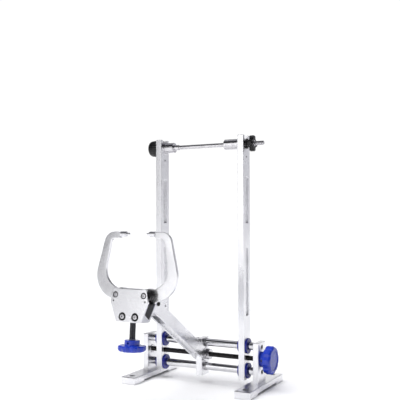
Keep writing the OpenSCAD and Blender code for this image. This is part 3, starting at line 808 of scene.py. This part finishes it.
@dataclass
class Spindle:
    """The clamping rod, threaded for the star nut at its right end, and its cap."""

    finishes: Finishes
    radius: float = 4.0
    left: float = -110.0
    right: float = 129.2
    thread: float = 56.0
    cap_start: float = -94.5
    cap_radius: float = 16.18
    star_start: float = 94.5
    star_radius: float = 15.0

    def build(self) -> None:
        """Makes the rod, then the cap and the nut."""
        dress(self.finishes.turned, "star_insert")
        r = self.radius
        Shell().bar(
            side(0, z=SPINDLE_HEIGHT),
            [(self.left, 0), (self.left, r - 0.5), (self.left + 0.5, r),
             (self.thread, r), (self.thread + 0.1, r - 0.02)],
            threaded(self.thread + 0.2, self.right - 1.0, r - 0.02, 0.55, 1.25),
            [(self.right - 0.9, r - 0.1), (self.right, r - 1.0), (self.right, 0)],
        ).piece("spindle_rod", "threaded", self.finishes.screw, "spindle")
        self.cap()
        self.star()

    def cap(self) -> None:
        """The round black cap at the left end."""
        r = self.cap_radius
        profile = softened([(15.5, 0, 0), (15.5, 4.03, 0), (0, 4.03, 0), (0, 15.2, 1.5),
                            (8, r, 4.0), (20, 14.7, 5.0), (19.4, 6.0, 3.0), (19.2, 0, 0)],
                           closed=False, steps=8)
        grip = Lobes(r, 24, 17.8, 2.1, 13.0, soft=0.3)
        Shell().turned(side(self.cap_start, -1, SPINDLE_HEIGHT), profile, 240, lobes=grip).piece(
            "spindle_cap", "turned", self.finishes.black, "spindle", 45)

    def star(self) -> None:
        """The four-lobed nut at the right end."""
        r = self.star_radius
        profile = softened([(0, 5.52, 0), (0, 9.6, 0.3), (2.4, 9.6, 0.8), (2.4, 7.2, 0.2),
                            (7.5, 7.2, 0.6), (7.5, r, 1.6), (16.0, r, 1.8),
                            (16.0, 5.9, 0.3), (15.6, 5.52, 0)], steps=5)
        grip = Lobes(r, 4, 16.2, 6.2, 7.3, soft=1.6)
        Shell().turned(side(self.star_start, z=SPINDLE_HEIGHT), profile, 192, True, grip).piece(
            "star_nut", "lobed", self.finishes.black, "star", 45)


@dataclass
class Arm:
    """The forked bar that swings about the lead screw and carries the head.

    Places are along and over the line from the lead screw through the arm, and the web is the
    solid part between the forks.
    """

    finishes: Finishes
    half: float = 10.4
    wall: float = 3.9
    over: float = 8.0
    under: float = -14.5
    tip: float = -227.1
    boss: float = 13.4
    bore: float = 7.05
    bolt: Pair = (-215.1, 2.0)
    bolt_bore: float = 2.52
    web: Pair = (-160.0, -30.0)
    groove: float = 3.0

    def build(self) -> None:
        """Makes the bar and the tilt bolt."""
        dress(self.finishes.screw, "tilt_nut")
        self.bar()
        bolt = Screw(head=3.6, height=2.0, shank=2.5, length=25.7, key=3.0, crown=0.6)
        bolt.cut_into(Shell(), on_arm(self.half + bolt.height, -1).moved(*self.bolt)).piece(
            "tilt_bolt", "black", self.finishes.oxide, "arm")

    def bar(self) -> None:
        """Two sides with round bosses, and the deep web between them."""
        outline = softened([
            (self.tip, self.under, 9.0), (-2.0, self.under, 1.5),
            *arc(0, 0, self.boss, -88, 143, 40), (self.tip, self.over, 6.0)], steps=8)
        shell = Shell()
        cuts = (drilled(self.bore, 0, 0, self.wall, 0.4),
                drilled(self.bolt_bore, *self.bolt, self.wall, 0.3, count=32))
        for way in SIDES:
            shell.plate(on_arm(way * self.half, -way),
                        Cut(outline, broken_edges(self.wall, 0.7)), *cuts)
        inside, top = self.half - self.wall + 0.15, self.over - 0.1
        across = on_arm(0, 1)
        flat = Place(tuple(across.put(0, top, 0)), (1, 0, 0), across.across,
                     tuple(-np.array(across.up)))
        low, high = self.web
        web = np.array([(-inside, low), (inside, low), (inside, high), (-inside, high)])
        shell.plate(flat, Cut(web, broken_edges(top - self.under - self.groove, 0.3)))
        shell.piece("arm_channel", "bent", self.finishes.alu_arm, "arm")


@dataclass
class CalliperHead:
    """The plates that hold the jaws, with their spools and screws.

    The outline's rows are across, up and corner radius, for the right half. Those of the holes
    are radius, across, up, edge and number of points, and each hole has its mirror image.
    """

    finishes: Finishes
    depths: Pair = (-14.5, 8.5)
    plate: float = 4.0
    foot_screw: Pair = (12.0, 10.3)
    half_outline: Rows = (
        (18, 54.2, 30), (27, 55.5, 4), (32, 55.5, 4.5), (35.5, 33, 9), (23.5, 1.5, 1.5))
    front_holes: Rows = (
        (4.9, *JAW_PIVOT, 0.3, 48), (6.55, 12.0, 10.3, 0.3, 48), (1.5, 29.6, 34.8, 0.2, 24))
    rear_holes: Rows = (
        (3.02, *JAW_PIVOT, 0.3, 48), (2.5, 12.0, 10.3, 0.3, 48), (2.02, 12, 15, 0.2, 24),
        (2.02, 12, 32, 0.2, 24))

    def build(self) -> None:
        """Makes the plates, spools and screws and dresses the rest of the head."""
        f = self.finishes
        dress(f.alu_y, "head_bracket")
        dress(f.alu_even, "screw_block")
        dress(f.screw, "bracket_screws", "tilt_lock_screw", "jaw_springs")
        dress(f.black, "spacer_body")
        right = np.array(self.half_outline, float)
        outline = Cut(softened([*right, *right[::-1] * (-1, 1, 1)]),
                      broken_edges(self.plate, 0.6))
        for label, depth, holes in zip(("front", "rear"), self.depths,
                                       (self.front_holes, self.rear_holes)):
            cuts = [drilled(r, way * u, v, self.plate, edge, count)
                    for r, u, v, edge, count in holes for way in (1, -1)]
            Shell().plate(HEAD.moved(d=depth), outline, *cuts).piece(
                f"{label}_plate", "milled", f.alu_even, "head")
        self.spools()
        pivot = Screw(head=3.5, height=1.4, shank=3.0, length=25.4, key=2.5, crown=0.4)
        large = Screw(head=4.0, height=2.2, shank=2.48, length=25.4, key=2.5, crown=0.7)
        for node, screw, (u, v), sunk in (("jaw_pivot_screws", pivot, JAW_PIVOT, 0.2),
                                          ("plate_screws", large, self.foot_screw, -0.6)):
            shell = Shell()
            for way in (1, -1):
                screw.cut_into(shell, HEAD.moved(way * u, v, self.depths[0] + sunk))
            shell.piece(node, "plated", f.screw, "head")

    def spools(self) -> None:
        """Black spools on the jaws' pivots, each with a boss in the front plate's hole."""
        profile = softened([(-2.4, 3.3, 0), (-2.4, 4.85, 0.3), (0, 4.85, 0), (0, 10.3, 0.5),
                            (4.6, 10.3, 0.4), (4.9, 9.7, 0), (5.5, 9.7, 0), (5.8, 10.3, 0.4),
                            (12.5, 10.3, 0.6), (12.5, 8.4, 0.1), (2.0, 8.4, 0), (2.0, 4.6, 0),
                            (12.5, 4.6, 0.1), (12.5, 3.3, 0), (12.2, 3.03, 0), (-2.1, 3.03, 0)],
                           steps=4)
        shell = Shell()
        u, v = JAW_PIVOT
        for way in (1, -1):
            shell.turned(HEAD.moved(way * u, v, self.depths[0] + self.plate), profile, closed=True)
        shell.piece("pivot_spools", "moulded", self.finishes.black, "head")


@dataclass
class Adjuster:
    """The screw and knob below the head, and the wedge that they lift."""

    finishes: Finishes
    radius: float = 5.2
    pin: float = 3.0
    top: float = 30.9
    pin_top: float = 36.8
    thread_end: float = 25.0
    knob_top: float = -27.0
    bottom: float = -41.4

    def build(self) -> None:
        """Makes the screw and the knob and dresses the wedge."""
        f = self.finishes
        dress(f.screw, "wedge")
        r, p = self.radius, self.pin
        Shell().bar(
            down_head(0, 0),
            [(-self.pin_top, 0), (-self.pin_top, p - 0.4), (-self.pin_top + 0.4, p),
             (-self.top, p), (-self.top, r - 0.6), (-self.top + 0.5, r - 0.1)],
            threaded(-self.top + 0.6, self.thread_end, r, 0.6, 1.5),
            [(self.thread_end + 0.1, r), (-self.bottom, r), (-self.bottom, 0)],
        ).piece("adjuster_screw", "threaded", f.black_zinc, "adjuster")
        knob = LobedKnob(neck=12.4, neck_height=8.4, head=22.75, head_height=9.8, bore=r + 0.03,
                         bore_depth=14.5, dish=0.8)
        front = HEAD.moved(0, self.knob_top - knob.neck_height / 2, -knob.neck)
        knob.cut_into(Shell(), down_head(0, self.knob_top)).piece(
            "adjuster_knob", "lobed", f.blue, "adjuster", 45, knob.pin_hole(front, 1.6))


@dataclass
class Jaw(Sided):
    """One curved jaw and its feeler tip.

    The bend and the heel, which the wedge moves, are rows of across, up and corner radius, for
    the right jaw. Its eye turns on the pivot.
    """

    near: float = 2.3
    thickness: float = 5.9
    eye: float = 11.0
    tip_start: float = 16.0
    tip_height: float = 142.5
    bend: Rows = (
        (29, 32.4, 1.5), (36, 32.8, 6), (84.1, 51.2, 40), (60.4, 146.1, 19), (33, 146.1, 0.8),
        (33, 135.6, 0.8), (50.6, 135.6, 8), (62.2, 67.3, 30), (36, 54.2, 10))
    heel: Rows = (
        (10.6, 40.9, 0.3), (8.6, 39.4, 1.0), (8.3, 35.4, 1.2), (12, 34.3, 0.8), (29, 33.9, 0.3))

    def build(self) -> None:
        """Makes the jaw and its tip."""
        u, v = JAW_PIVOT
        round_eye = arc(u, v, self.eye, 61.9, 172.8, 30)
        outline = softened([*self.bend, *round_eye, *self.heel], steps=14) * (self.way, 1)
        shell = Shell().plate(HEAD.moved(d=self.near),
                              Cut(outline, broken_edges(self.thickness, 0.8)),
                              drilled(3.05, self.way * u, v, self.thickness, 0.3))
        self.give(shell, "jaw", "curved", self.finishes.alu_even, "jaw")
        middle = self.near + self.thickness / 2
        profile = softened([(0, 0, 0), (0, 1.2, 0), (0.8, 2.0, 0), (5.6, 2.0, 0.2),
                            (6.2, 4.4, 0.5), (17, 4.4, 0.4), (17, 2.08, 0), (28, 2.08, 0.4),
                            (28, 0, 0)], closed=False, steps=4)
        start = HEAD.put(self.way * self.tip_start, self.tip_height, middle)
        place = Place(tuple(start), HEAD.up, HEAD.deep, (self.way, 0, 0))
        self.give(Shell().turned(place, profile, count=40), "tip", "turned", self.finishes.pin,
                  "jaw")


# ---------- the studio


# Tone of the room over the X, Y and Z of a direction: a white wall that greys towards its
# ends, the dimmer side of the camera, and a ceiling past a dark band
ROOM = {
    "X": ((-0.95, "#707074"), (-0.80, "#A8A8AC"), (-0.60, "#E0E0E4"), (-0.35, "#FFFFFF"),
          (0.30, "#D4D4D9"), (0.62, "#CCCCD1"), (0.85, "#5C5B62")),
    "Y": ((-0.15, "#66666A"), (0.15, "#FFFFFF")),
    "Z": ((0.36, "#FFFFFF"), (0.47, "#3E3E42"), (0.64, "#4A4A4E"), (0.80, "#D4D4D8"),
          (1.0, "#DCDCE0")),
}
ROOM_LIGHT = 1.04


@dataclass
class Studio:
    """Pale floor, soft lights and the camera."""

    camera_at: Triple = (0.5918, -1.1473, 0.3156)
    azimuth: float = 27.45
    pitch: float = -1.486
    roll: float = -0.206
    lens: float = 60.18
    floor_size: float = 24.0
    aim: Triple = (0, 0, 0.2)

    def build(self) -> None:
        """Sets up the whole studio."""
        self.floor()
        self.world()
        self.light("front soft box", (-0.56, -2.94, 0.95), (2.1, 1.7), 16.8)
        self.light("left strip", (-2.6, -0.4, 1.0), (0.5, 1.6), 4.0)
        self.daylight()
        self.camera()

    def floor(self) -> None:
        """A plain white floor that runs out of sight."""
        s = self.floor_size / 2
        mesh = bpy.data.meshes.new("studio_floor")
        mesh.from_pydata([(-s, -s, 0), (s, -s, 0), (s, s, 0), (-s, s, 0)], [], [(0, 1, 2, 3)])
        floor = new_object("studio_floor", mesh)
        material = bpy.data.materials.new("white studio paper")
        material.use_nodes = True
        shader = material.node_tree.nodes["Principled BSDF"]
        shader.inputs["Base Color"].default_value = linear("#F6F6F7")
        shader.inputs["Roughness"].default_value = 0.6
        mesh.materials.append(material)

    def world(self) -> None:
        """White paper behind the stand, and the room that its metal mirrors: ROOM multiplied."""
        world = bpy.data.worlds.new("studio room")
        bpy.context.scene.world = world
        world.use_nodes = True
        tree = world.node_tree
        tree.nodes.clear()
        way = add(tree, "ShaderNodeTexCoord").outputs["Generated"]
        split = add(tree, "ShaderNodeSeparateXYZ", {"Vector": way})
        tone, *more = [self.ramp(tree, split.outputs[axis], *stops)
                       for axis, stops in ROOM.items()]
        for ramp in more:
            tone = add(tree, "ShaderNodeMix", {"6": tone, "7": ramp}, {"Factor": 1.0},
                       data_type="RGBA", blend_type="MULTIPLY").outputs["Result"]
        room = add(tree, "ShaderNodeBackground", {"Color": tone}, {"Strength": ROOM_LIGHT})
        paper = add(tree, "ShaderNodeBackground", values={"Color": linear("#FFFFFF"),
                                                          "Strength": ROOM_LIGHT})
        seen = add(tree, "ShaderNodeLightPath").outputs["Is Camera Ray"]
        sky = add(tree, "ShaderNodeMixShader", {"0": seen, "1": room.outputs[0],
                                                "2": paper.outputs[0]})
        add(tree, "ShaderNodeOutputWorld", {"Surface": sky.outputs[0]})

    def ramp(self, tree: bpy.types.NodeTree, value: bpy.types.NodeSocket,
             *stops: tuple[float, str]) -> bpy.types.NodeSocket:
        """A smooth ramp of colours over one part of a direction, which runs from -1 to 1."""
        share = add(tree, "ShaderNodeMapRange", {"Value": value},
                    {"From Min": -1.0, "From Max": 1.0})
        node = add(tree, "ShaderNodeValToRGB", {"Fac": share.outputs[0]})
        node.color_ramp.interpolation = "EASE"
        elements = node.color_ramp.elements
        elements[0].position, elements[1].position = 0.0, 1.0
        elements[0].color, elements[1].color = linear(stops[0][1]), linear(stops[-1][1])
        for at, colour in stops:
            elements.new((at + 1) / 2).color = linear(colour)
        return node.outputs["Color"]

    def daylight(self) -> None:
        """Wide even light from above, which whitens the floor out to its edge."""
        data = bpy.data.lights.new("daylight", "SUN")
        data.energy = 3.7
        data.angle = math.radians(75)
        lamp = new_object("daylight", data)
        lamp.rotation_euler = (math.radians(16), math.radians(-14), 0)
        lamp.visible_camera = lamp.visible_glossy = False

    def light(self, name: str, at: Triple, size: Pair, power: float) -> None:
        """A soft box at that place, facing the stand, with its size in metres and its watts."""
        data = bpy.data.lights.new(name, "AREA")
        data.shape = "RECTANGLE"
        data.size, data.size_y = size
        data.energy = power
        lamp = new_object(name, data)
        lamp.location = at
        facing = Vector(self.aim) - Vector(at)
        lamp.rotation_euler = facing.to_track_quat("-Z", "Y").to_euler()
        lamp.visible_camera = False

    def camera(self) -> None:
        """The camera at the photograph's place and angle."""
        a, e, r = (math.radians(v) for v in (self.azimuth, self.pitch, self.roll))
        ahead = Vector((-math.sin(a) * math.cos(e), math.cos(a) * math.cos(e), -math.sin(e)))
        right = Vector((math.cos(a), math.sin(a), 0))
        up = right.cross(ahead)
        x = right * math.cos(r) + up * math.sin(r)
        y = up * math.cos(r) - right * math.sin(r)
        data = bpy.data.cameras.new("camera")
        data.lens, data.sensor_width = self.lens, 36.0
        data.clip_start, data.clip_end = 0.05, 60.0
        camera = new_object("camera", data)
        turn = Matrix((x, y, -ahead)).transposed().to_4x4()
        camera.matrix_world = Matrix.Translation(self.camera_at) @ turn
        bpy.context.scene.camera = camera
        bpy.context.scene.view_settings.view_transform = "Standard"


def main() -> None:
    """Sets up the studio and then builds the stand, piece by piece."""
    logging.basicConfig(level=logging.INFO, format="%(name)s: %(message)s")
    finishes = Finishes()
    Studio().build()
    Base(finishes).build()
    SpreadDrive(finishes).build()
    for way in SIDES:
        Upright(finishes, way).build()
    Spindle(finishes).build()
    Arm(finishes).build()
    CalliperHead(finishes).build()
    Adjuster(finishes).build()
    for way in SIDES:
        Jaw(finishes, way).build()


if __name__ == "__main__":
    main()
